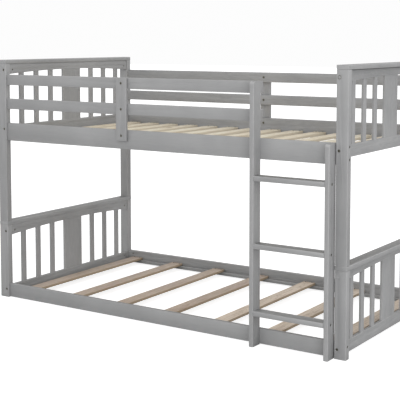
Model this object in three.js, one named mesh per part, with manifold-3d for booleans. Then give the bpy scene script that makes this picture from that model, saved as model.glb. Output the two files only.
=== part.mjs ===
// Twin-over-twin floor bunk bed with a vertical ladder. Millimetres, +Z up, X along the bed.
// Two separate bed frames stack on steel pins: each frame has four posts, two capped end
// frames, two side rails with slat ledgers and a row of slats. The upper frame also has
// guard boards on both long sides, with an access gap at the ladder.
// The origin is on the floor, under the middle of the whole footprint, ladder included.

import * as THREE from 'three';
import { mergeVertices } from 'three/addons/utils/BufferGeometryUtils.js';
import Module from 'manifold-3d';

const wasm = await Module();
wasm.setup();

// ---------------------------------------------------------------- driving dimensions
const BED_LENGTH = 2006;      // outside of posts, along X
const BED_WIDTH = 1065;       // outside of posts, along Y
const BED_HEIGHT = 1250;      // floor to the top of the upper caps
const LOWER_HEIGHT = 402;     // floor to the top of the lower caps
const GAP = 0.3;              // clearance between touching pieces

const POST_X = 56;            // post section
const POST_Y = 34;
const POST_ROUND = 3.5;       // rounded long edges
const CAP_HEIGHT = 20;

const PANEL_LINE = 42;        // outside of post to the middle of the end frame
const PANEL_RAIL = 16;        // thickness of the end frame's rails
const TOP_RAIL_END = 54;      // height of the top rail at the posts
const ARCH_RISE = 17;         // its lower edge rises this much to mid-width
const BOTTOM_RAIL_DOWN = 340.5;   // cap top to the bottom rail's top edge
const BOTTOM_RAIL_HEIGHT = 53.5;
const SPINDLE_WIDTH = 32;
const SPINDLE_THICK = 12;
const BOARD_WIDTH = 148;      // wide centre board of the end frame
const SPINDLES_PER_SIDE = 3;
const TENON = 12;             // spindle ends let into the rails

const RAIL_INSET = 9;         // post face to rail face
const RAIL_THICK = 20;
const LOWER_RAIL = [2, 72];   // bottom and top of the lower side rails
const UPPER_RAIL = [830, 922];
const LEDGER_WIDTH = 20;
const LEDGER_HEIGHT = 18;
const LEDGER_SHORT = 4;       // ledger end to post
const LOWER_LEDGER = 6;       // bottom of the lower ledgers
const UPPER_LEDGER = 830;

const SLAT_WIDTH = 70;
const SLAT_THICK = 14;
const LOWER_SLATS = 7;
const UPPER_SLATS = 14;
const LOWER_SLAT_SPAN = [130, 1882]; // left end of the bed to the first and last slats' middles
const UPPER_SLAT_SPAN = [120, 1904];
const SLAT_END_GAP = 3;

const GUARD_LOW = [995, 1049];
const GUARD_HIGH = [1119.5, 1173.5];
const GUARD_POST_WIDTH = 62;
const GUARD_POST_THICK = 15;
const GUARD_POST_BOTTOM = 870;
const GUARD_POST_TOP = 1172.5;
const GUARD_POST_FRONT_X = -186;
const GUARD_POST_BACK_X = 0;

const LADDER_LEFT = 557;      // outer faces of the ladder rails along X
const LADDER_RIGHT = 943.4;
const LADDER_RAIL = 21;
const LADDER_DEPTH = 61;
const LADDER_LEFT_TOP = 1173.5;
const LADDER_RIGHT_TOP = 921;
const LADDER_TOP_ROUND = 18;
const RUNG_MIDDLES = [151, 451, 751];
const RUNG_THICK = 22;
const RUNG_DEPTH = 58;

const BOLT_BORE = 7;          // clearance for an M6 bolt
const BOLT_HEAD = 13;         // counterbore
const BOLT_HEAD_DEEP = 6;
const NUT_BORE = 10;          // cross dowel nut
const NUT_DEEP = 15;
const NUT_FROM_END = 34;
const END_BOLT_DOWN = [52, 360];  // cap top to the end-frame bolts
const PIN = 10;               // stacking pin
const PIN_LENGTH = 78;
const PIN_BORE = 10.8;
const PIN_SOCKET = 30;        // depth of the socket in each post

// ---------------------------------------------------------------- derived
const HALF_X = BED_LENGTH / 2;
const HALF_Y = BED_WIDTH / 2;
const POST_AT_X = HALF_X - POST_X / 2;
const POST_AT_Y = HALF_Y - POST_Y / 2;
const RAIL_FACE = HALF_Y - RAIL_INSET;            // outer face of rails and guard boards
const RAIL_MIDDLE = RAIL_FACE - RAIL_THICK / 2;
const RAIL_INNER = RAIL_FACE - RAIL_THICK;
const SPAN_X = BED_LENGTH - 2 * POST_X;           // between posts, along X
const SPAN_Y = BED_WIDTH - 2 * POST_Y;
const PANEL_X = HALF_X - PANEL_LINE;
const LADDER_REACH = LADDER_DEPTH - RAIL_INSET;   // ladder in front of the posts
const BACK_REACH = GUARD_POST_THICK - RAIL_INSET; // back guard post behind the posts
const GUARDS = [GUARD_LOW, GUARD_HIGH];
const SIDE_BOLTS_LOWER = [55];
const SIDE_BOLTS_UPPER = [853, 907];

// ---------------------------------------------------------------- materials
const grey = new THREE.MeshStandardMaterial({ color: 0xa6a6a5, roughness: 0.55, metalness: 0 });
const pine = new THREE.MeshStandardMaterial({ color: 0xcfbda4, roughness: 0.7, metalness: 0 });
const steel = new THREE.MeshStandardMaterial({ color: 0x8e8f90, roughness: 0.35, metalness: 1 });

// ---------------------------------------------------------------- solids and cuts
function toSolid(geometry) {
  const bare = geometry.clone();
  bare.deleteAttribute('normal');
  bare.deleteAttribute('uv');
  const merged = mergeVertices(bare, 1e-4);
  return new wasm.Manifold(new wasm.Mesh({
    numProp: 3,
    vertProperties: new Float32Array(merged.attributes.position.array),
    triVerts: new Uint32Array(merged.index.array),
  }));
}

function toGeometry(solid) {
  const mesh = solid.getMesh();
  const geometry = new THREE.BufferGeometry();
  geometry.setAttribute('position', new THREE.BufferAttribute(mesh.vertProperties, 3));
  geometry.setIndex(new THREE.BufferAttribute(mesh.triVerts, 1));
  const flat = geometry.toNonIndexed();
  flat.computeVertexNormals();
  return flat;
}

function cut(geometry, tools) {
  if (!tools.length) return geometry;
  let solid = toSolid(geometry);
  for (const tool of tools) solid = solid.subtract(toSolid(tool));
  return toGeometry(solid);
}

function join(geometries) {
  return toGeometry(geometries.map(toSolid).reduce((a, b) => a.add(b)));
}

// Turns a shape drawn in XY and extruded along Z so that the extrusion runs along the
// named axis. The shape's two directions follow on in cyclic order.
function turn(geometry, axis) {
  const m = new THREE.Matrix4();
  const x = new THREE.Vector3(1, 0, 0);
  const y = new THREE.Vector3(0, 1, 0);
  const z = new THREE.Vector3(0, 0, 1);
  if (axis === 'x') m.makeBasis(y, z, x);
  if (axis === 'y') m.makeBasis(z, x, y);
  return geometry.applyMatrix4(m);
}

// A bar along an axis, centred, with its long edges rounded.
function bar(axis, length, a, b, round = 2.5) {
  const shape = new THREE.Shape();
  const u = a / 2;
  const v = b / 2;
  const quarter = Math.PI / 2;
  shape.moveTo(-u + round, -v);
  shape.lineTo(u - round, -v);
  shape.absarc(u - round, -v + round, round, -quarter, 0);
  shape.lineTo(u, v - round);
  shape.absarc(u - round, v - round, round, 0, quarter);
  shape.lineTo(-u + round, v);
  shape.absarc(-u + round, v - round, round, quarter, 2 * quarter);
  shape.lineTo(-u, -v + round);
  shape.absarc(-u + round, -v + round, round, 2 * quarter, 3 * quarter);
  const geometry = new THREE.ExtrudeGeometry(shape, {
    depth: length, bevelEnabled: false, curveSegments: 1,
  });
  geometry.translate(0, 0, -length / 2);
  return turn(geometry, axis);
}

// A round cutter between two stations on an axis, at the other two coordinates.
function bore(axis, diameter, from, to, a, b, sides = 12) {
  const geometry = new THREE.CylinderGeometry(diameter / 2, diameter / 2, Math.abs(to - from), sides);
  geometry.rotateX(Math.PI / 2);
  geometry.translate(a, b, (from + to) / 2);
  return turn(geometry, axis);
}

// A bolt hole right through a piece whose face is at +-half on the axis: a clearance bore
// and a counterbore for the head on the side that sign points to.
function boltHole(axis, half, sign, a, b) {
  return [
    bore(axis, BOLT_BORE, -half - 1, half + 1, a, b, 8),
    bore(axis, BOLT_HEAD, sign * (half - BOLT_HEAD_DEEP), sign * (half + 1), a, b),
  ];
}

const bed = new THREE.Group();
bed.position.y = (LADDER_REACH - BACK_REACH) / 2;

function place(name, geometry, material, x, y, z, group = bed) {
  const mesh = new THREE.Mesh(geometry, material);
  mesh.name = name;
  mesh.position.set(x, y, z);
  group.add(mesh);
  return mesh;
}

const ENDS = [['left', -1], ['right', 1]];
const SIDES = [['front', -1], ['back', 1]];

// ---------------------------------------------------------------- posts
// Counterbored on the outer X face for the side rails and guard boards, and on the outer
// Y face for the end frame's two rails. Sockets for the stacking pins are in the ends.
function post(length, sx, sy, base, capTop, sideBolts, sockets) {
  const middle = base + length / 2;
  const tools = [];
  for (const z of sideBolts) {
    tools.push(...boltHole('x', POST_X / 2, sx, sy * (RAIL_MIDDLE - POST_AT_Y), z - middle));
  }
  for (const down of END_BOLT_DOWN) {
    const z = capTop - down - middle;
    tools.push(...boltHole('y', POST_Y / 2, sy, z, sx * (PANEL_X - POST_AT_X)));
  }
  const half = length / 2;
  if (sockets.includes('top')) tools.push(bore('z', PIN_BORE, half - PIN_SOCKET, half + 1, 0, 0));
  if (sockets.includes('bottom')) tools.push(bore('z', PIN_BORE, -half - 1, -half + PIN_SOCKET, 0, 0));
  return cut(bar('z', length, POST_X, POST_Y, POST_ROUND), tools);
}

for (const [end, sx] of ENDS) {
  for (const [side, sy] of SIDES) {
    const x = sx * POST_AT_X;
    const y = sy * POST_AT_Y;
    const lowerLength = LOWER_HEIGHT - CAP_HEIGHT - GAP;
    const lower = post(lowerLength, sx, sy, 0, LOWER_HEIGHT, SIDE_BOLTS_LOWER, ['top']);
    place(`lower_${side}_${end}_post`, lower, grey, x, y, lowerLength / 2);

    const base = LOWER_HEIGHT + GAP;
    const upperLength = BED_HEIGHT - CAP_HEIGHT - GAP - base;
    const atAccess = side === 'front' && end === 'right';
    const bolts = [...SIDE_BOLTS_UPPER];
    if (!atAccess) bolts.push(...GUARDS.map(([low, high]) => (low + high) / 2));
    const upper = post(upperLength, sx, sy, base, BED_HEIGHT, bolts, ['bottom']);
    place(`upper_${side}_${end}_post`, upper, grey, x, y, base + upperLength / 2);

    const pin = new THREE.CylinderGeometry(PIN / 2, PIN / 2, PIN_LENGTH, 16);
    pin.rotateX(Math.PI / 2);
    const pinMiddle = LOWER_HEIGHT - CAP_HEIGHT / 2;
    place(`stacking_pin_${side}_${end}`, pin, steel, x, y, pinMiddle);
  }
}

// ---------------------------------------------------------------- caps and end frames
// The cap runs over both posts. Below it one glued frame holds the arched top rail, three
// spindles, the wide centre board, three spindles and the straight bottom rail.
function arch(y) {
  return ARCH_RISE * (1 - (y / (SPAN_Y / 2)) ** 2);
}

function archedRail() {
  const half = SPAN_Y / 2 - GAP;
  const shape = new THREE.Shape();
  const steps = 14;
  shape.moveTo(half, 0);
  shape.lineTo(-half, 0);
  for (let i = 0; i <= steps; i += 1) {
    const y = -half + (2 * half * i) / steps;
    shape.lineTo(y, -TOP_RAIL_END + arch(y));
  }
  const geometry = new THREE.ExtrudeGeometry(shape, { depth: PANEL_RAIL, bevelEnabled: false });
  geometry.translate(0, 0, -PANEL_RAIL / 2);
  return turn(geometry, 'x');
}

// Built downwards from the cap's underside, which is z = 0.
function endFrame() {
  const pieces = [archedRail()];
  const bottomTop = -(BOTTOM_RAIL_DOWN - CAP_HEIGHT);
  const bottom = bar('y', SPAN_Y - 2 * GAP, BOTTOM_RAIL_HEIGHT, PANEL_RAIL, 2);
  bottom.translate(0, 0, bottomTop - BOTTOM_RAIL_HEIGHT / 2);
  pieces.push(bottom);

  const count = 2 * SPINDLES_PER_SIDE;
  const opening = (SPAN_Y - count * SPINDLE_WIDTH - BOARD_WIDTH) / (count + 2);
  let y = -SPAN_Y / 2;
  for (let i = 0; i <= count; i += 1) {
    const width = i === SPINDLES_PER_SIDE ? BOARD_WIDTH : SPINDLE_WIDTH;
    y += opening;
    const middle = y + width / 2;
    const top = -TOP_RAIL_END + arch(middle) + TENON;
    const low = bottomTop - TENON;
    const upright = bar('z', top - low, SPINDLE_THICK, width, 2);
    upright.translate(0, middle, (top + low) / 2);
    pieces.push(upright);
    y += width;
  }
  const frame = join(pieces);
  const tools = [];
  for (const [, sy] of SIDES) {
    for (const down of END_BOLT_DOWN) {
      const z = CAP_HEIGHT - down;
      const end = sy * SPAN_Y / 2;
      const nut = sy * (SPAN_Y / 2 - NUT_FROM_END + 8);
      tools.push(bore('y', BOLT_BORE, nut, end, z, 0, 8));
      tools.push(bore('x', NUT_BORE, -PANEL_RAIL, PANEL_RAIL, nut, z));
    }
  }
  return cut(frame, tools);
}

for (const [level, top] of [['lower', LOWER_HEIGHT], ['upper', BED_HEIGHT]]) {
  for (const [end, sx] of ENDS) {
    const cap = bar('y', BED_WIDTH, CAP_HEIGHT, POST_X, 2.5);
    const tools = [];
    if (level === 'lower') {
      for (const [, sy] of SIDES) {
        tools.push(bore('z', PIN_BORE, -CAP_HEIGHT, CAP_HEIGHT, 0, sy * POST_AT_Y));
      }
    }
    place(`${level}_${end}_end_cap`, cut(cap, tools), grey, sx * POST_AT_X, 0, top - CAP_HEIGHT / 2);
    place(`${level}_${end}_end_frame`, endFrame(), grey, sx * PANEL_X, 0, top - CAP_HEIGHT - GAP);
  }
}

// ---------------------------------------------------------------- side rails and ledgers
function sideRail([low, high], bolts, sy) {
  const length = SPAN_X - 2 * GAP;
  const middle = (low + high) / 2;
  const tools = [];
  for (const [, sx] of ENDS) {
    for (const z of bolts) {
      const nut = sx * (SPAN_X / 2 - NUT_FROM_END);
      tools.push(bore('x', BOLT_BORE, nut, sx * SPAN_X / 2, 0, z - middle, 8));
      const inner = -sy * RAIL_THICK / 2;
      tools.push(bore('y', NUT_BORE, inner * 1.1, inner + sy * NUT_DEEP, z - middle, nut));
    }
  }
  return cut(bar('x', length, RAIL_THICK, high - low), tools);
}

for (const [side, sy] of SIDES) {
  for (const [level, rail, bolts, ledgerLow] of [
    ['lower', LOWER_RAIL, SIDE_BOLTS_LOWER, LOWER_LEDGER],
    ['upper', UPPER_RAIL, SIDE_BOLTS_UPPER, UPPER_LEDGER],
  ]) {
    const z = (rail[0] + rail[1]) / 2;
    place(`${level}_${side}_side_rail`, sideRail(rail, bolts, sy), grey, 0, sy * RAIL_MIDDLE, z);
    const ledger = bar('x', SPAN_X - 2 * LEDGER_SHORT, LEDGER_WIDTH, LEDGER_HEIGHT, 1.5);
    const ledgerY = sy * (RAIL_INNER - GAP - LEDGER_WIDTH / 2);
    place(`${level}_${side}_slat_ledger`, ledger, grey, 0, ledgerY, ledgerLow + LEDGER_HEIGHT / 2);
  }
}

// ---------------------------------------------------------------- slats
for (const [level, count, [first, last], ledgerLow] of [
  ['lower', LOWER_SLATS, LOWER_SLAT_SPAN, LOWER_LEDGER],
  ['upper', UPPER_SLATS, UPPER_SLAT_SPAN, UPPER_LEDGER],
]) {
  const slats = new THREE.Group();
  slats.position.z = ledgerLow + LEDGER_HEIGHT + GAP + SLAT_THICK / 2;
  bed.add(slats);
  const pitch = (last - first) / (count - 1);
  for (let i = 0; i < count; i += 1) {
    const slat = bar('y', 2 * (RAIL_INNER - SLAT_END_GAP), SLAT_THICK, SLAT_WIDTH, 2);
    const name = `${level}_slat_${String(i + 1).padStart(2, '0')}`;
    place(name, slat, pine, -HALF_X + first + i * pitch, 0, 0, slats);
  }
}

// ---------------------------------------------------------------- guard boards
// The back boards run from post to post. The front ones stop at the ladder's left rail and
// leave the access gap open.
const FRONT_GUARD_END = LADDER_LEFT + LADDER_RAIL;

for (const [side, sy] of SIDES) {
  const from = -HALF_X + POST_X + GAP;
  const to = side === 'back' ? HALF_X - POST_X - GAP : FRONT_GUARD_END;
  const guardX = side === 'back' ? GUARD_POST_BACK_X : GUARD_POST_FRONT_X;
  GUARDS.forEach(([low, high], i) => {
    const middle = (from + to) / 2;
    const board = bar('x', to - from, RAIL_THICK, high - low);
    const tools = [bore('y', BOLT_BORE - 2, -RAIL_THICK, RAIL_THICK, 0, guardX - middle, 8)];
    place(`${side}_guard_board_${i ? 'high' : 'low'}`, cut(board, tools), grey,
      middle, sy * RAIL_MIDDLE, (low + high) / 2);
  });
  const height = GUARD_POST_TOP - GUARD_POST_BOTTOM;
  const middleZ = (GUARD_POST_TOP + GUARD_POST_BOTTOM) / 2;
  const tools = [...GUARDS.map(([low, high]) => (low + high) / 2), GUARD_POST_BOTTOM + 25]
    .flatMap((z) => boltHole('y', GUARD_POST_THICK / 2, sy, z - middleZ, 0));
  const strap = cut(bar('z', height, GUARD_POST_WIDTH, GUARD_POST_THICK, 3), tools);
  place(`${side}_guard_post`, strap, grey,
    guardX, sy * (RAIL_FACE + GAP + GUARD_POST_THICK / 2), middleZ);
}

// ---------------------------------------------------------------- ladder
// Both rails stand on the floor against the side rails. Rung bolts are counterbored in
// their outer faces, and the front corner of each top is rounded off.
function ladderRail(height, sx) {
  const front = -LADDER_DEPTH / 2;
  const shape = new THREE.Shape();
  const r = LADDER_TOP_ROUND;
  shape.moveTo(-front, 0);
  shape.lineTo(-front, height);
  shape.lineTo(front + r, height);
  shape.absarc(front + r, height - r, r, Math.PI / 2, Math.PI);
  shape.lineTo(front, 0);
  const edge = 2.5;
  shape.closePath();
  const geometry = new THREE.ExtrudeGeometry(shape, {
    depth: LADDER_RAIL, bevelEnabled: false, curveSegments: 3,
  });
  geometry.translate(0, 0, -LADDER_RAIL / 2);
  turn(geometry, 'x');
  const tools = RUNG_MIDDLES.flatMap((z) => boltHole('x', LADDER_RAIL / 2, sx, 0, z));
  const trims = [-1, 1].map((side) => {
    const trim = new THREE.BoxGeometry(edge * Math.SQRT2, edge * Math.SQRT2, height * 3);
    trim.rotateZ(Math.PI / 4);
    trim.translate(side * LADDER_RAIL / 2, front, 0);
    return trim;
  });
  return cut(geometry, [...tools, ...trims]);
}

const ladder = new THREE.Group();
ladder.position.y = -(RAIL_FACE + GAP + LADDER_DEPTH / 2);
bed.add(ladder);
place('ladder_left_rail', ladderRail(LADDER_LEFT_TOP, -1), grey,
  LADDER_LEFT + LADDER_RAIL / 2, 0, 0, ladder);
place('ladder_right_rail', ladderRail(LADDER_RIGHT_TOP, 1), grey,
  LADDER_RIGHT - LADDER_RAIL / 2, 0, 0, ladder);

const rungLength = LADDER_RIGHT - LADDER_LEFT - 2 * (LADDER_RAIL + GAP);
const rungForward = -(LADDER_DEPTH - RUNG_DEPTH) / 2;
RUNG_MIDDLES.forEach((z, i) => {
  const tools = [-1, 1].map((s) => bore('x', 5, s * (rungLength / 2 - 45), s * (rungLength / 2 + 1),
    -rungForward, 0, 8));
  const rung = cut(bar('x', rungLength, RUNG_DEPTH, RUNG_THICK, 3), tools);
  place(`ladder_rung_${i + 1}`, rung, grey, (LADDER_LEFT + LADDER_RIGHT) / 2, rungForward, z, ladder);
});

const root = new THREE.Group();
root.name = 'bunk_bed_with_ladder';
root.add(bed);
export default root;
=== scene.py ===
import math

import bmesh
import bpy
from mathutils import Matrix, Vector


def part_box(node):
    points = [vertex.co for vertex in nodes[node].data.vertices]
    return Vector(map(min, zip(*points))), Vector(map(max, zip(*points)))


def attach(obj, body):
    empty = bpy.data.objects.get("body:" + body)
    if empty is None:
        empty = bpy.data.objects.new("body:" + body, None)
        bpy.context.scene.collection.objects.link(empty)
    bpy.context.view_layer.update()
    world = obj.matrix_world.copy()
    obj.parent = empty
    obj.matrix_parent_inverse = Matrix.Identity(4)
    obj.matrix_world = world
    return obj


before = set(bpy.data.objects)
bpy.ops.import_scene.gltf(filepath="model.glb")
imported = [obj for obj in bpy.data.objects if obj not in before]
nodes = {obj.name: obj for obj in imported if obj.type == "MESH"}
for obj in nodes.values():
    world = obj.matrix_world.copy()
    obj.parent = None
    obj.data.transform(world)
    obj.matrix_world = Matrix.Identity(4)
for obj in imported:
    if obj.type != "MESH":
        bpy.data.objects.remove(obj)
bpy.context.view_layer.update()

MM = 0.001
scene = bpy.context.scene

# ---------------------------------------------------------------- camera
CAMERA_AT = (2.817, -4.356, 1.355)
CAMERA_TURN = 33.56        # degrees, from looking along +Y towards -X
CAMERA_TILT = -4.52        # degrees, below zero where the camera looks down
CAMERA_ROLL = -0.03
CAMERA_SENSOR = 36         # millimetres
CAMERA_LENS = 91.63
CAMERA_SHIFT = -0.2        # lets the camera look less steeply, so that uprights stay upright


def make_camera():
    data = bpy.data.cameras.new("camera")
    data.sensor_width = CAMERA_SENSOR
    data.lens = CAMERA_LENS
    data.shift_y = CAMERA_SHIFT
    camera = bpy.data.objects.new("camera", data)
    scene.collection.objects.link(camera)
    camera.matrix_world = (
        Matrix.Translation(CAMERA_AT)
        @ Matrix.Rotation(math.radians(CAMERA_TURN), 4, "Z")
        @ Matrix.Rotation(math.radians(90 + CAMERA_TILT), 4, "X")
        @ Matrix.Rotation(math.radians(CAMERA_ROLL), 4, "Z")
    )
    scene.camera = camera


make_camera()


# ---------------------------------------------------------------- node helpers
class Tree:
    """A material's node tree, with short calls for the nodes used here. A value is a number,
    a tuple or another node's output."""

    def __init__(self, name):
        self.material = bpy.data.materials.new(name)
        self.material.use_nodes = True
        self.tree = self.material.node_tree
        self.shader = self.tree.nodes["Principled BSDF"]
        coords = self.tree.nodes.new("ShaderNodeTexCoord")
        self.place = coords.outputs["Object"]

    def add(self, kind, settings=None, **inputs):
        node = self.tree.nodes.new("ShaderNode" + kind)
        for key, value in (settings or {}).items():
            setattr(node, key, value)
        for key, value in inputs.items():
            self.set(node.inputs[key.replace("_", " ")], value)
        return node

    def set(self, socket, value):
        if isinstance(value, bpy.types.NodeSocket):
            self.tree.links.new(value, socket)
        else:
            socket.default_value = value

    def math(self, operation, a, b=0.0):
        node = self.add("Math", {"operation": operation})
        self.set(node.inputs[0], a)
        self.set(node.inputs[1], b)
        return node.outputs[0]

    def vector(self, operation, a, b=(0, 0, 0)):
        node = self.add("VectorMath", {"operation": operation})
        self.set(node.inputs[0], a)
        self.set(node.inputs[1], b)
        return node.outputs[0]

    def split(self, vector):
        return self.add("SeparateXYZ", Vector=vector).outputs

    def noise(self, place, scale, detail=3.0, roughness=0.55, distortion=0.0):
        node = self.add("TexNoise", Vector=place, Scale=scale, Detail=detail,
                        Roughness=roughness, Distortion=distortion)
        return node.outputs["Fac"]

    def between(self, value, low, high, to_low=0.0, to_high=1.0):
        """Goes smoothly from to_low to to_high while the value goes from low to high."""
        node = self.add("MapRange", {"interpolation_type": "SMOOTHSTEP"})
        for socket, number in zip(node.inputs, (value, low, high, to_low, to_high)):
            self.set(socket, number)
        return node.outputs[0]

    def mix_colour(self, fac, a, b):
        node = self.add("Mix", {"data_type": "RGBA"})
        self.set(node.inputs[0], fac)
        self.set(node.inputs[6], a)
        self.set(node.inputs[7], b)
        return node.outputs[2]

    def mix_vector(self, fac, a, b):
        node = self.add("Mix", {"data_type": "VECTOR"})
        self.set(node.inputs[0], fac)
        self.set(node.inputs[4], a)
        self.set(node.inputs[5], b)
        return node.outputs[1]

    def bump(self, height, distance, strength=1.0, normal=None):
        node = self.add("Bump", Height=height, Distance=distance, Strength=strength)
        if normal:
            self.set(node.inputs["Normal"], normal)
        return node.outputs[0]


def facing(tree):
    """How squarely a spot faces along X, Y or Z, 1 on the flat faces of a board and less on
    its rounded edges, and how much it faces up."""
    normal = tree.add("NewGeometry").outputs["Normal"]
    x, y, z = tree.split(tree.vector("ABSOLUTE", normal))
    up = tree.split(normal)[2]
    return tree.math("MAXIMUM", tree.math("MAXIMUM", x, y), z), up


# ---------------------------------------------------------------- grey paint over wood
PAINT_DARK = (0.336, 0.337, 0.340, 1)
PAINT_LIGHT = (0.376, 0.377, 0.380, 1)
PAINT_PORE = (0.222, 0.230, 0.241, 1)
# the colour of pale growth rings, and of the painted highlight on arrises
PAINT_PALE_RINGS_AND_HIGHLIGHT = (0.500, 0.500, 0.500, 1)
# the darker colour of painted shade on top faces
PAINT_SHADED_TOP = (0.232, 0.232, 0.232, 1)
# the near black of the painted shadow under the end caps
PAINT_CAP_SHADOW = (0.060, 0.060, 0.060, 1)

# how fine each pattern is per metre, counted along the grain where it has one
PORES = 11.0
STREAKS = 7.0
GROWTH = 2.4
ROLLER_MARKS = 620.0
CLOUDS = 3.1
SHEEN_PATCHES = 55.0
# patches in which the arrises get the painted highlight
HIGHLIGHT_PATCHES = 38.0
FINE_SQUEEZE = 30.0        # how much closer together pores lie across the grain
BROAD_SQUEEZE = 11.0       # the same for streaks and growth rings
GROWTH_RINGS = 52.0        # how fast ring follows ring where the growth pattern changes

# how strongly each layer covers the one below
STREAK_AMOUNT = 0.24
PORE_AMOUNT = 0.42
RING_AMOUNT = 0.14
# painted shade on top faces, patchy
TOP_SHADE_AMOUNT = (0.7, 0.95)
# painted highlight on arrises, patchy
HIGHLIGHT_AMOUNT = (0.25, 0.6)
# painted shadow under the caps
CAP_SHADOW_AMOUNT = (0.1, 0.85)  # at the far end and at the ladder end of the bed

ARRIS = (0.985, 0.86)      # how squarely a spot faces where the painted highlight on arrises begins, and where it is full
TOP_FACE = (0.90, 0.99)    # how much a spot faces up where a top begins, and where it is full
CAP_SHADOW_CORE = 3.0 * MM       # painted shadow under a cap is dark this far from the joint line, and fades out further on
CAP_SHADOW_REACH = 6.5 * MM
CAP_SHADOW_CHANGE = 100 * MM     # its amount changes within this distance of the bed's middle

PAINT_ROUGHNESS = (0.40, 0.54)
PAINT_SPECULAR = 0.42
RING_DEPTH = 0.12 * MM
PORE_DEPTH = 0.60 * MM
ROLLER_DEPTH = 0.12 * MM


def along_grain(tree, axis, squeeze):
    """Coordinates in which a pattern runs long along one axis."""
    scales = tuple(1.0 if name == axis else squeeze for name in "xyz")
    return tree.vector("MULTIPLY", tree.place, scales)


def grain_place(tree, axis, squeeze, frame_zones):
    """Coordinates for grain along the axis, or on an end frame's uprights along Z."""
    place = along_grain(tree, axis, squeeze)
    if frame_zones:
        low, high = frame_zones
        height = tree.split(tree.place)[2]
        above = tree.math("GREATER_THAN", height, low)
        below = tree.math("LESS_THAN", height, high)
        inside = tree.math("MULTIPLY", above, below)
        place = tree.mix_vector(inside, place, along_grain(tree, "z", squeeze))
    return place


def painted_arris_highlight(tree, square):
    """How much painted highlight a spot gets: none on flat faces, and most on rounded arrises, in patches.
    """
    lit_arris = tree.between(square, *ARRIS)
    patches = tree.between(tree.noise(tree.place, HIGHLIGHT_PATCHES), 0.30, 0.62, *HIGHLIGHT_AMOUNT)
    return tree.math("MULTIPLY", lit_arris, patches)


def painted_cap_shadow(tree, joint_at):
    """How dark the painted shadow under an end cap is, along the joint line at a height."""
    x, _, z = tree.split(tree.place)
    distance = tree.math("ABSOLUTE", tree.math("SUBTRACT", z, joint_at))
    line = tree.between(distance, CAP_SHADOW_REACH, CAP_SHADOW_CORE)
    return tree.math("MULTIPLY", line, tree.between(x, -CAP_SHADOW_CHANGE, CAP_SHADOW_CHANGE, *CAP_SHADOW_AMOUNT))


def paint(name, axis, grain=1.0, frame_zones=None, joint_at=None):
    """Satin grey paint. Grain of the wood below shows along the axis as fine pores and broad growth rings,
    under a fine roller texture. Arrises are painted lighter, as a highlight, and tops are painted darker,
    as shade, both in patches.
    grain is how strongly the wood shows through: less on the well filled front boards.
    frame_zones are the heights between which uprights run, on an end frame: there the grain
    is vertical, and in the rails above and below it runs along Y.
    joint_at is the height of the joint under an end cap, along which shade under the cap is painted as a
    dark line, strongest at the ladder end."""
    tree = Tree(name)
    fine = grain_place(tree, axis, FINE_SQUEEZE, frame_zones)
    broad = grain_place(tree, axis, BROAD_SQUEEZE, frame_zones)
    pores = tree.noise(fine, PORES, 5.0, 0.65, 0.2)
    streaks = tree.noise(broad, STREAKS, 4.0, 0.6, 0.3)
    growth = tree.noise(broad, GROWTH, 2.0, 0.5, 1.0)
    rings = tree.math("SINE", tree.math("MULTIPLY", growth, GROWTH_RINGS))
    roller = tree.noise(tree.place, ROLLER_MARKS, 2.0, 0.5)
    cloud = tree.noise(tree.place, CLOUDS)

    colour = tree.mix_colour(tree.between(cloud, 0.36, 0.66), PAINT_DARK, PAINT_LIGHT)
    streaky = tree.between(streaks, 0.50, 0.68, 0.0, STREAK_AMOUNT * grain)
    colour = tree.mix_colour(streaky, colour, PAINT_PORE)
    porous = tree.between(pores, 0.55, 0.72, 0.0, PORE_AMOUNT * grain)
    colour = tree.mix_colour(porous, colour, PAINT_PORE)
    ringed = tree.between(rings, 0.1, 1.0, 0.0, RING_AMOUNT * grain)
    colour = tree.mix_colour(ringed, colour, PAINT_PALE_RINGS_AND_HIGHLIGHT)
    square, up = facing(tree)
    # top faces are painted darker, as shade, in patches
    patchy = tree.between(cloud, 0.2, 0.7, *TOP_SHADE_AMOUNT)
    shaded_top = tree.math("MULTIPLY", tree.between(up, *TOP_FACE), patchy)
    colour = tree.mix_colour(shaded_top, colour, PAINT_SHADED_TOP)
    # painted highlight along the arrises, in patches
    colour = tree.mix_colour(painted_arris_highlight(tree, square), colour, PAINT_PALE_RINGS_AND_HIGHLIGHT)
    # painted shadow under the end cap, along its joint
    if joint_at:
        colour = tree.mix_colour(painted_cap_shadow(tree, joint_at), colour, PAINT_CAP_SHADOW)
    tree.set(tree.shader.inputs["Base Color"], colour)

    rough = tree.between(tree.noise(tree.place, SHEEN_PATCHES), 0.3, 0.7, *PAINT_ROUGHNESS)
    tree.set(tree.shader.inputs["Roughness"], rough)
    tree.shader.inputs["Specular IOR Level"].default_value = PAINT_SPECULAR
    normal = tree.bump(rings, RING_DEPTH, 0.5)
    normal = tree.bump(pores, PORE_DEPTH, 0.6, normal)
    normal = tree.bump(roller, ROLLER_DEPTH, 0.35, normal)
    tree.set(tree.shader.inputs["Normal"], normal)
    return tree.material


# ---------------------------------------------------------------- bare pine
# the lower slats are darker than the upper ones; edge is the colour of the sides and undersides, painted
# darker as shade
PINE = {
    "lower": {"pale": (0.790, 0.685, 0.575, 1), "warm": (0.505, 0.415, 0.345, 1),
              "pink": (0.505, 0.408, 0.368, 1), "late": (0.345, 0.250, 0.168, 1),
              "edge": (0.395, 0.300, 0.195, 1)},
    "upper": {"pale": (0.860, 0.800, 0.655, 1), "warm": (0.830, 0.745, 0.580, 1),
              "pink": (0.850, 0.765, 0.665, 1), "late": (0.575, 0.450, 0.295, 1),
              "edge": (0.730, 0.640, 0.495, 1)},
}
KNOT = (0.150, 0.075, 0.035, 1)
PALER_FROM = {"lower": 0.24, "upper": None}     # the ladder end's lower slats are paler

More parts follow.
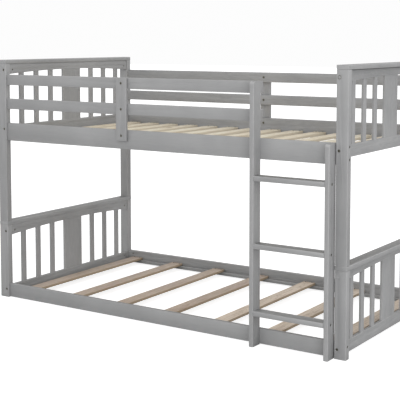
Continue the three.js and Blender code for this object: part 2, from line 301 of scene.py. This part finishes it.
PALER_SLATS_CHANGE = 20 * MM      # the tone changes within this distance of where the paler slats start
DARKER_SLATS_TONE = 0.75           # what the darker slats, short of paler_from, add to the tone
OWN_TONE = 0.25            # what a slat then adds of its own
TRUNK = 7.3                # metres of trunk along which the slats' places are scattered

# how fine each pattern is per metre, along X, Y and Z where they differ
KNOT_CELLS = (13.0, 5.2, 13.0)
KNOT_WOBBLE = 22.0
FIBRES = (420.0, 12.0, 420.0)
BLUSHES = 4.5
BENDS = 14.0
BEND_STRETCH = (1.0, 0.055, 1.0)

WOBBLE_REACH = (0.30, 0.30, 0.30)
KNOTTY = 0.28              # share of the cells that hold a knot
SWIRL = (0.62, 0.08)       # how far from a knot its swirl begins, and where it is full
CORE = (0.17, 0.10)        # the same for its dark core

# what moves a spot on to the next ring: its place along X and Z, the bends, and a knot
RINGS_ACROSS = 150.0
RINGS_DEEP = 260.0
RINGS_BENT = 44.0
RINGS_AROUND_KNOT = 9.0
RING_PACE = 2.6

# how strongly each layer covers the one below
BLUSH_AMOUNT = 0.7
LATE_AMOUNT = 0.40
FIBRE_AMOUNT = 0.30
SWIRL_AMOUNT = 0.35
CORE_AMOUNT = 0.85
# painted shade on the slats' sides and undersides
SIDE_SHADE_AMOUNT = 0.8

PINE_ROUGHNESS = (0.58, 0.74)
PINE_SPECULAR = 0.3
LATE_DEPTH = 0.12 * MM
FIBRE_DEPTH = 0.25 * MM


def knots(tree, place):
    """How near a knot's swirl is, and how near its dark core."""
    wobble = tree.add("TexNoise", Vector=place, Scale=KNOT_WOBBLE, Detail=2.0).outputs["Color"]
    at = tree.vector("MULTIPLY", place, KNOT_CELLS)
    at = tree.vector("ADD", at, tree.vector("MULTIPLY", wobble, WOBBLE_REACH))
    cells = tree.add("TexVoronoi", Vector=at, Scale=1.0)
    chance = tree.add("SeparateColor", Color=cells.outputs["Color"])
    rare = tree.math("GREATER_THAN", chance.outputs[0], 1 - KNOTTY)
    near = tree.math("MULTIPLY", tree.between(cells.outputs["Distance"], *SWIRL), rare)
    core = tree.math("MULTIPLY", tree.between(cells.outputs["Distance"], *CORE), rare)
    return near, core


def pine(name, pitch, tones, paler_from):
    """Planed pine, grain along Y: growth rings, fine fibres, knots, and a tone of its own for each slat,
    found from which slat pitch along X it lies in. The sides and undersides are painted darker than the
    tops, as shade. Beyond paler_from along X the slats are paler, and short of it darker."""
    tree = Tree(name)
    x, y, z = tree.split(tree.place)
    slat = tree.math("FLOOR", tree.math("DIVIDE", x, pitch))
    own = tree.add("TexWhiteNoise", {"noise_dimensions": "1D"}, W=slat).outputs["Value"]
    tone = own
    if paler_from is not None:
        low, high = paler_from - PALER_SLATS_CHANGE, paler_from + PALER_SLATS_CHANGE
        darker = tree.between(x, low, high, DARKER_SLATS_TONE, 0.0)
        tone = tree.math("ADD", tree.math("MULTIPLY", own, OWN_TONE), darker)
    shifted = tree.math("ADD", y, tree.math("MULTIPLY", own, TRUNK))
    place = tree.add("CombineXYZ", X=x, Y=shifted, Z=z).outputs[0]
    near, core = knots(tree, place)

    bend = tree.noise(tree.vector("MULTIPLY", place, BEND_STRETCH), BENDS, 3.0, 0.5, 0.4)
    phase = tree.math("MULTIPLY", x, RINGS_ACROSS)
    phase = tree.math("ADD", phase, tree.math("MULTIPLY", z, RINGS_DEEP))
    phase = tree.math("ADD", phase, tree.math("MULTIPLY", bend, RINGS_BENT))
    phase = tree.math("ADD", phase, tree.math("MULTIPLY", near, RINGS_AROUND_KNOT))
    rings = tree.math("SINE", tree.math("MULTIPLY", phase, RING_PACE))
    late = tree.between(rings, 0.15, 0.98)
    fibres = tree.noise(tree.vector("MULTIPLY", place, FIBRES), 1.0, 4.0, 0.6)
    blush = tree.between(tree.noise(place, BLUSHES, 2.0), 0.46, 0.66, 0.0, BLUSH_AMOUNT)
    _, up = facing(tree)

    colour = tree.mix_colour(tone, tones["pale"], tones["warm"])
    colour = tree.mix_colour(tree.math("MULTIPLY", blush, tone), colour, tones["pink"])
    colour = tree.mix_colour(tree.math("MULTIPLY", late, LATE_AMOUNT), colour, tones["late"])
    colour = tree.mix_colour(tree.between(fibres, 0.45, 0.8, 0.0, FIBRE_AMOUNT), colour, tones["late"])
    colour = tree.mix_colour(tree.math("MULTIPLY", near, SWIRL_AMOUNT), colour, tones["late"])
    colour = tree.mix_colour(tree.math("MULTIPLY", core, CORE_AMOUNT), colour, KNOT)
    # sides and undersides are painted darker, as shade
    colour = tree.mix_colour(tree.between(up, 0.9, 0.3, 0.0, SIDE_SHADE_AMOUNT), colour, tones["edge"])
    tree.set(tree.shader.inputs["Base Color"], colour)
    tree.set(tree.shader.inputs["Roughness"], tree.between(fibres, 0.3, 0.7, *PINE_ROUGHNESS))
    tree.shader.inputs["Specular IOR Level"].default_value = PINE_SPECULAR
    normal = tree.bump(late, LATE_DEPTH, 0.6)
    normal = tree.bump(fibres, FIBRE_DEPTH, 0.6, normal)
    tree.set(tree.shader.inputs["Normal"], normal)
    return tree.material


# ---------------------------------------------------------------- metal
DARK_ZINC = (0.185, 0.178, 0.142, 1)
BRIGHT_ZINC = (0.52, 0.52, 0.51, 1)
BLOTCHES = 180.0           # per metre
BLOTCH_SHADE = 0.72        # how much of the light a blotch keeps
TOOL_MARKS = 2400.0
TOOL_DEPTH = 0.02 * MM
SMOOTHER = 0.07            # how far the roughness swings to either side
ROUGHER = 0.1


def metal(name, base, rough):
    """Zinc-plated steel with fine turning marks, and darker blotches from handling."""
    tree = Tree(name)
    blotch = tree.noise(tree.place, BLOTCHES)
    fine = tree.noise(tree.place, TOOL_MARKS, 2.0)
    dark = tuple(BLOTCH_SHADE * c for c in base[:3]) + (1,)
    tree.set(tree.shader.inputs["Base Color"], tree.mix_colour(tree.between(blotch, 0.35, 0.7), base, dark))
    tree.shader.inputs["Metallic"].default_value = 1.0
    roughness = tree.between(fine, 0.3, 0.7, rough - SMOOTHER, rough + ROUGHER)
    tree.set(tree.shader.inputs["Roughness"], roughness)
    tree.set(tree.shader.inputs["Normal"], tree.bump(fine, TOOL_DEPTH, 0.5))
    return tree.material


# ---------------------------------------------------------------- looks of the CAD nodes
LEVELS = ("lower", "upper")
SIDES_Y = (("front", -1), ("back", 1))     # and which way along Y each side faces
ENDS_X = (("left", -1), ("right", 1))      # and which way along X each end faces
FRAME_BOTTOM_RAIL = 53.5 * MM      # heights of an end frame's rails
FRAME_TOP_RAIL = 52 * MM

PIN_EDGE = 1.2 * MM                # how far edges are rounded
SLAT_EDGE = 0.8 * MM
BOARD_EDGE = 1.6 * MM
EDGE_STEPS = 2
EDGE_FROM = 40                     # degrees between two faces, from which an edge is rounded
WELD_WITHIN = 0.02 * MM
FLAT_WITHIN = 0.5                  # degrees between two faces that count as one


def middle(name):
    low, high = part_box(name)
    return (low + high) / 2


def is_slat(name):
    return "_slat_" in name and not name.endswith("ledger")


def slat_look(level):
    pitch = middle(f"{level}_slat_02").x - middle(f"{level}_slat_01").x
    return pine(f"pine_{level}", pitch, PINE[level], PALER_FROM[level])


def end_frame_look(level):
    low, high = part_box(f"{level}_left_end_frame")
    uprights = (low.z + FRAME_BOTTOM_RAIL, high.z - FRAME_TOP_RAIL)
    # only the upper end frames get painted shadow under their caps
    joint_at = high.z if level == "upper" else None
    return paint(f"grey_paint_{level}_end_frame", "y", frame_zones=uprights, joint_at=joint_at)


paint_front = paint("grey_paint_front_boards", "x", grain=0.34)
paint_back = paint("grey_paint_back_boards", "x")
paint_caps = paint("grey_paint_caps", "y", grain=1.1)
paint_upright = paint("grey_paint_upright", "z", grain=0.4)
bolt_steel = metal("dark_zinc", DARK_ZINC, rough=0.42)
pin_steel = metal("bright_zinc", BRIGHT_ZINC, rough=0.3)
slat_looks = {level: slat_look(level) for level in LEVELS}
end_frame_looks = {level: end_frame_look(level) for level in LEVELS}


def look_of(name):
    """The material and the edge rounding of a CAD node."""
    level = name.split("_")[0]
    if name.startswith("stacking_pin"):
        return pin_steel, PIN_EDGE
    if is_slat(name):
        return slat_looks[level], SLAT_EDGE
    if name.endswith("end_frame"):
        return end_frame_looks[level], BOARD_EDGE
    if name.endswith("end_cap"):
        return paint_caps, BOARD_EDGE
    if name.endswith(("_post", "_left_rail", "_right_rail")):
        return paint_upright, BOARD_EDGE
    return (paint_back if "back" in name else paint_front), BOARD_EDGE


def soften(obj, width):
    """Rounds the edges a little, as sanding and paint do, and shades them smooth."""
    weld = obj.modifiers.new("weld", "WELD")
    weld.merge_threshold = WELD_WITHIN
    flat = obj.modifiers.new("flat", "DECIMATE")
    flat.decimate_type = "DISSOLVE"
    flat.angle_limit = math.radians(FLAT_WITHIN)
    bevel = obj.modifiers.new("bevel", "BEVEL")
    bevel.width = width
    bevel.segments = EDGE_STEPS
    bevel.limit_method = "ANGLE"
    bevel.angle_limit = math.radians(EDGE_FROM)
    bevel.harden_normals = True
    obj.data.polygons.foreach_set("use_smooth", [True] * len(obj.data.polygons))


for name, obj in nodes.items():
    look, edge = look_of(name)
    obj.data.materials.clear()
    obj.data.materials.append(look)
    soften(obj, edge)


# ---------------------------------------------------------------- shapes of fasteners
# A circle, hexagon, slot or cross is an outline: it gives the point at an angle.
TURN_STEPS = 24
NEARLY_ZERO = 1e-6         # keeps a division in range
CROSS_CORNER = 1.45        # how far a cross's inner corners lie out, in half widths of its arms


def ring(bm, shape, height):
    """A ring of vertices along an outline."""
    angles = [2 * math.pi * step / TURN_STEPS for step in range(TURN_STEPS)]
    return [bm.verts.new((*shape(angle), height)) for angle in angles]


def circle(radius):
    return lambda angle: (radius * math.cos(angle), radius * math.sin(angle))


def hexagon(radius):
    def point(angle):
        from_side = (angle + math.pi / 6) % (math.pi / 3) - math.pi / 6
        reach = radius / math.cos(from_side)
        return reach * math.cos(angle), reach * math.sin(angle)
    return point


def slot_shape(half_long, half_wide):
    def point(angle):
        to_end = half_long / max(abs(math.cos(angle)), NEARLY_ZERO)
        to_side = half_wide / max(abs(math.sin(angle)), NEARLY_ZERO)
        reach = min(to_end, to_side)
        return reach * math.cos(angle), reach * math.sin(angle)
    return point


def cross_shape(arm, half_wide):
    def point(angle):
        off_arm = min(abs(math.cos(angle)), abs(math.sin(angle)))
        reach = arm if off_arm * arm < half_wide else half_wide / off_arm
        reach = max(reach, half_wide * CROSS_CORNER)
        return reach * math.cos(angle), reach * math.sin(angle)
    return point


def stack(bm, rings, hollow):
    """Joins rings of vertices, from the bottom up, then down the recess, to a closed body.
    A hollow body is a flat ring, such as the dark ring of painted shadow round a cover: its last ring joins
    its first."""
    for low, high in zip(rings, rings[1:] + (rings[:1] if hollow else [])):
        for step in range(TURN_STEPS):
            after = (step + 1) % TURN_STEPS
            bm.faces.new((low[step], low[after], high[after], high[step]))
    if not hollow:
        bm.faces.new(reversed(rings[0]))
        bm.faces.new(rings[-1])


def fastener(bm, at, out, profile, recess, depth):
    """One fastener whose head faces along out, with height 0 of its profile at the point.
    The profile lists (radius, height) from its hidden bottom to its top, and the recess is the outline sunk
    into the top by depth. The dark ring of painted shadow round a cover has no recess."""
    turn = Vector(out).to_track_quat("Z", "Y").to_matrix().to_4x4()
    before = len(bm.verts)
    rings = [ring(bm, circle(radius), height) for radius, height in profile]
    if recess:
        top = profile[-1][1]
        rings.append(ring(bm, recess, top))
        rings.append(ring(bm, recess, top - depth))
    stack(bm, rings, recess is None)
    bm.verts.ensure_lookup_table()
    bmesh.ops.transform(bm, matrix=Matrix.Translation(at) @ turn, verts=bm.verts[before:])


def group(name, items, profile, recess, depth, look=bolt_steel):
    """One piece with a fastener at each (point, direction) of the items."""
    bm = bmesh.new()
    for at, out in items:
        fastener(bm, at, out, profile, recess, depth)
    mesh = bpy.data.meshes.new(name)
    bm.to_mesh(mesh)
    bm.free()
    obj = bpy.data.objects.new(name, mesh)
    scene.collection.objects.link(obj)
    mesh.materials.append(look)
    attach(obj, "root")


def profile_mm(*points):
    return [(radius * MM, height * MM) for radius, height in points]


COVER = profile_mm((5.9, -4.2), (6.3, -3.6), (6.3, 1.0), (5.2, 1.9))
# a thin dark ring that stands in for the shadow in the gap round a cover
COVER_SHADOW_RING = profile_mm((8.0, 1.2), (8.2, 1.5), (7.8, 2.0), (6.6, 2.0), (6.6, 1.2))
BOLT = profile_mm((5.6, -4.2), (6.1, -3.8), (6.1, -0.7), (5.5, 0.0))
NUT = profile_mm((4.4, -9.0), (4.7, -8.6), (4.7, -0.5), (4.3, 0.0))
CAP_NUT = profile_mm((5.6, -0.8), (6.2, 0.2), (5.9, 1.6), (4.6, 2.3))
SCREW = profile_mm((3.4, -0.3), (3.6, 0.2), (3.3, 1.0), (2.4, 1.5))
DIMPLE = circle(2.0 * MM)
HEX = hexagon(2.6 * MM)
SLOT = slot_shape(3.4 * MM, 0.6 * MM)
CROSS = cross_shape(1.9 * MM, 0.45 * MM)

DIMPLE_DEEP = 0.4 * MM             # how deep each recess is
HEX_DEEP = 3.0 * MM
CAP_HEX_DEEP = 0.9 * MM
SLOT_DEEP = 1.2 * MM
CROSS_DEEP = 0.7 * MM

# ---------------------------------------------------------------- places of fasteners
HEAD_DOWN = 1.6 * MM               # bolt heads sit this far inside their counterbores
COVER_DOWN = 1.2 * MM              # the same for covers, and for nuts in their bores
NUT_DOWN = 0.8 * MM
END_BOLTS = (52 * MM, 360 * MM)    # cap top to the bolts into the end frame
RAIL_NUT_FROM_END = 34 * MM        # ends of a side rail and of an end frame to their nuts
FRAME_NUT_FROM_END = 26 * MM
SIDE_BOLT_HEIGHTS = {"lower": (55 * MM,), "upper": (853 * MM, 907 * MM)}
FOOT_BOLT = 25 * MM                # lower end of a guard post to its lowest bolt
SLAT_SCREW_FROM_END = 10 * MM
SLAT_SCREW_FROM_MIDDLE = 20 * MM
LADDER_SCREW_LOW = 40 * MM         # heights of the screws from the side rails into the ladder
LADDER_SCREW_HIGH = 890 * MM

guard_heights = [middle(f"back_guard_board_{which}").z for which in ("low", "high")]


def face(name, axis, sign):
    """Where a node's face towards the axis's plus or minus lies."""
    low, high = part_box(name)
    return getattr(high if sign > 0 else low, axis)


def end_frame_fixings(level, side, out_y, end):
    """Bolts through one post into the end frame: bolts, covers over bolts, and cross dowel
    nuts, which show at both faces of the frame."""
    post = f"{level}_{side}_{end}_post"
    end_frame = f"{level}_{end}_end_frame"
    x = middle(end_frame).x
    nut_y = face(post, "y", -out_y) - out_y * FRAME_NUT_FROM_END
    bolts, covers, nuts = [], [], []
    for down in END_BOLTS:
        z = face(f"{level}_{end}_end_cap", "z", 1) - down
        if (side, end) == ("front", "right") and down == END_BOLTS[0]:
            covers.append(((x, face(post, "y", out_y) - out_y * COVER_DOWN, z), (0, out_y, 0)))
        else:
            bolts.append(((x, face(post, "y", out_y) - out_y * HEAD_DOWN, z), (0, out_y, 0)))
        for way in (-1, 1):
            nuts.append(((face(end_frame, "x", way) - way * NUT_DOWN, nut_y, z), (way, 0, 0)))
    return bolts, covers, nuts


def side_rail_fixings(level, side, out_y, end, out_x):
    """Bolts through one post into the side rail and guard boards, with the rail's nuts."""
    post = f"{level}_{side}_{end}_post"
    side_rail = f"{level}_{side}_side_rail"
    rail_heights = SIDE_BOLT_HEIGHTS[level]
    heights = list(rail_heights)
    if level == "upper" and (side, end) != ("front", "right"):
        heights += guard_heights
    bolt_x = face(post, "x", out_x) - out_x * HEAD_DOWN
    bolts = [((bolt_x, middle(side_rail).y, z), (out_x, 0, 0)) for z in heights]
    nut_x = face(post, "x", -out_x) - out_x * RAIL_NUT_FROM_END
    nut_y = face(side_rail, "y", -out_y) + out_y * NUT_DOWN
    nuts = [((nut_x, nut_y, z), (0, -out_y, 0)) for z in rail_heights]
    return bolts, nuts


def guard_post_fixings(side, out_y):
    """Bolts through a guard post, and their cap nuts on the inner faces of the boards."""
    post = f"{side}_guard_post"
    x = middle(post).x
    bolt_y = face(post, "y", out_y) - out_y * HEAD_DOWN
    nut_y = face(f"{side}_guard_board_low", "y", -out_y)
    heights = (*guard_heights, face(post, "z", -1) + FOOT_BOLT)
    bolts = [((x, bolt_y, z), (0, out_y, 0)) for z in heights]
    cap_nuts = [((x, nut_y, z), (0, -out_y, 0)) for z in heights]
    return bolts, cap_nuts


def rung_bolts(end, out_x):
    rail = f"ladder_{end}_rail"
    x = face(rail, "x", out_x) - out_x * HEAD_DOWN
    heights = [middle(f"ladder_rung_{count}").z for count in (1, 2, 3)]
    return [((x, middle(rail).y, z), (out_x, 0, 0)) for z in heights]


def slat_screws(level):
    screws = []
    for name in nodes:
        if is_slat(name) and name.startswith(level):
            low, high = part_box(name)
            for y in (low.y + SLAT_SCREW_FROM_END, high.y - SLAT_SCREW_FROM_END):
                for way in (-1, 1):
                    x = middle(name).x + way * SLAT_SCREW_FROM_MIDDLE
                    screws.append(((x, y, high.z), (0, 0, 1)))
    return screws


def ladder_screws(end):
    """Screws driven from inside the bed into a ladder rail."""
    spots = [
        ("lower_front_side_rail", LADDER_SCREW_LOW),
        ("upper_front_side_rail", LADDER_SCREW_HIGH),
    ]
    if end == "left":
        spots += [(f"front_guard_board_{which}", z) for which, z in zip(("low", "high"), guard_heights)]
    x = middle(f"ladder_{end}_rail").x
    return [((x, face(board, "y", 1), z), (0, 1, 0)) for board, z in spots]


frame_bolts = []
frame_nuts = []
bolt_covers = []
cap_nuts = []
for level in LEVELS:
    for side, out_y in SIDES_Y:
        for end, out_x in ENDS_X:
            bolts, covers, nuts = end_frame_fixings(level, side, out_y, end)
            bolt_covers += covers
            rail_bolts, rail_nuts = side_rail_fixings(level, side, out_y, end, out_x)
            frame_bolts += bolts + rail_bolts
            frame_nuts += nuts + rail_nuts
for side, out_y in SIDES_Y:
    bolts, nuts = guard_post_fixings(side, out_y)
    frame_bolts += bolts
    cap_nuts += nuts
for end, out_x in ENDS_X:
    frame_bolts += rung_bolts(end, out_x)

group("frame_bolts", frame_bolts, BOLT, HEX, HEX_DEEP)
group("cross_dowel_nuts", frame_nuts, NUT, SLOT, SLOT_DEEP)
group("bolt_covers", bolt_covers, COVER, DIMPLE, DIMPLE_DEEP, paint_upright)
# a dark ring of painted shadow round the upper cover
group("bolt_cover_shadow_ring", bolt_covers[-1:], COVER_SHADOW_RING, None, 0)     # at the upper cover only
group("guard_post_nuts", cap_nuts, CAP_NUT, HEX, CAP_HEX_DEEP)
for level in LEVELS:
    group(f"{level}_slat_screws", slat_screws(level), SCREW, CROSS, CROSS_DEEP)
ladder_fixings = ladder_screws("left") + ladder_screws("right")
group("ladder_fixing_screws", ladder_fixings, SCREW, CROSS, CROSS_DEEP)

# ---------------------------------------------------------------- floor, light and world
FLOOR_SIZE = 80
FLOOR_AT = (0, 0, -0.4 * MM)
FLOOR_TONE = 0.55
FLOOR_ROUGHNESS = 0.9
FLOOR_SPECULAR = 0.1
FLOOR_LIFT = 0.80             # added for the eye only, so that the floor meets the white world
WORLD_LIGHT = 0.875
WORLD_SEEN = 0.98
WHITE = (1, 1, 1, 1)
LAMPS_AIM = (0, 0, 0.7)
LAMPS = {                     # place and size in metres, and power in watts
    "key_softbox": ((2.6, -5.2, 3.0), (3.0, 3.0), 26),
    "fill_softbox": ((-3.5, -5.0, 1.8), (4.0, 3.0), 21),
    "side_softbox": ((6.0, -1.0, 2.4), (4.0, 3.0), 28),
    "low_softbox": ((4.6, -4.4, 0.9), (2.0, 1.6), 44),
}


def by_ray(tree, for_light, for_eye):
    """Mixes two shaders: camera rays see the second one, all other rays the first."""
    ray = tree.nodes.new("ShaderNodeLightPath")
    mixed = tree.nodes.new("ShaderNodeMixShader")
    tree.links.new(ray.outputs["Is Camera Ray"], mixed.inputs[0])
    tree.links.new(for_light, mixed.inputs[1])
    tree.links.new(for_eye, mixed.inputs[2])
    return mixed.outputs[0]


def glow(tree, strength):
    node = tree.nodes.new("ShaderNodeEmission")
    node.inputs["Strength"].default_value = strength
    return node.outputs[0]


def floor_material():
    material = bpy.data.materials.new("pale_floor")
    material.use_nodes = True
    tree = material.node_tree
    shader = tree.nodes["Principled BSDF"]
    shader.inputs["Base Color"].default_value = (FLOOR_TONE, FLOOR_TONE, FLOOR_TONE, 1)
    shader.inputs["Roughness"].default_value = FLOOR_ROUGHNESS
    shader.inputs["Specular IOR Level"].default_value = FLOOR_SPECULAR
    both = tree.nodes.new("ShaderNodeAddShader")
    tree.links.new(shader.outputs[0], both.inputs[0])
    tree.links.new(by_ray(tree, glow(tree, 0), glow(tree, FLOOR_LIFT)), both.inputs[1])
    tree.links.new(both.outputs[0], tree.nodes["Material Output"].inputs["Surface"])
    return material


def softbox(name, at, size, power):
    data = bpy.data.lights.new(name, "AREA")
    data.shape = "RECTANGLE"
    data.size, data.size_y = size
    data.energy = power
    lamp = bpy.data.objects.new(name, data)
    scene.collection.objects.link(lamp)
    lamp.location = at
    lamp.rotation_euler = (Vector(LAMPS_AIM) - Vector(at)).to_track_quat("-Z", "Y").to_euler()


def white_world():
    world = bpy.data.worlds.new("studio")
    scene.world = world
    world.use_nodes = True
    sky = world.node_tree
    lit = sky.nodes["Background"]
    seen = sky.nodes.new("ShaderNodeBackground")
    for node, strength in ((lit, WORLD_LIGHT), (seen, WORLD_SEEN)):
        node.inputs["Color"].default_value = WHITE
        node.inputs["Strength"].default_value = strength
    mixed = by_ray(sky, lit.outputs[0], seen.outputs[0])
    sky.links.new(mixed, sky.nodes["World Output"].inputs[0])


bpy.ops.mesh.primitive_plane_add(size=FLOOR_SIZE, location=FLOOR_AT)
floor = bpy.context.object
floor.name = "floor"
floor.data.materials.append(floor_material())

for name, (at, size, power) in LAMPS.items():
    softbox(name, at, size, power)
white_world()

scene.view_settings.view_transform = "Standard"
scene.view_settings.look = "None"
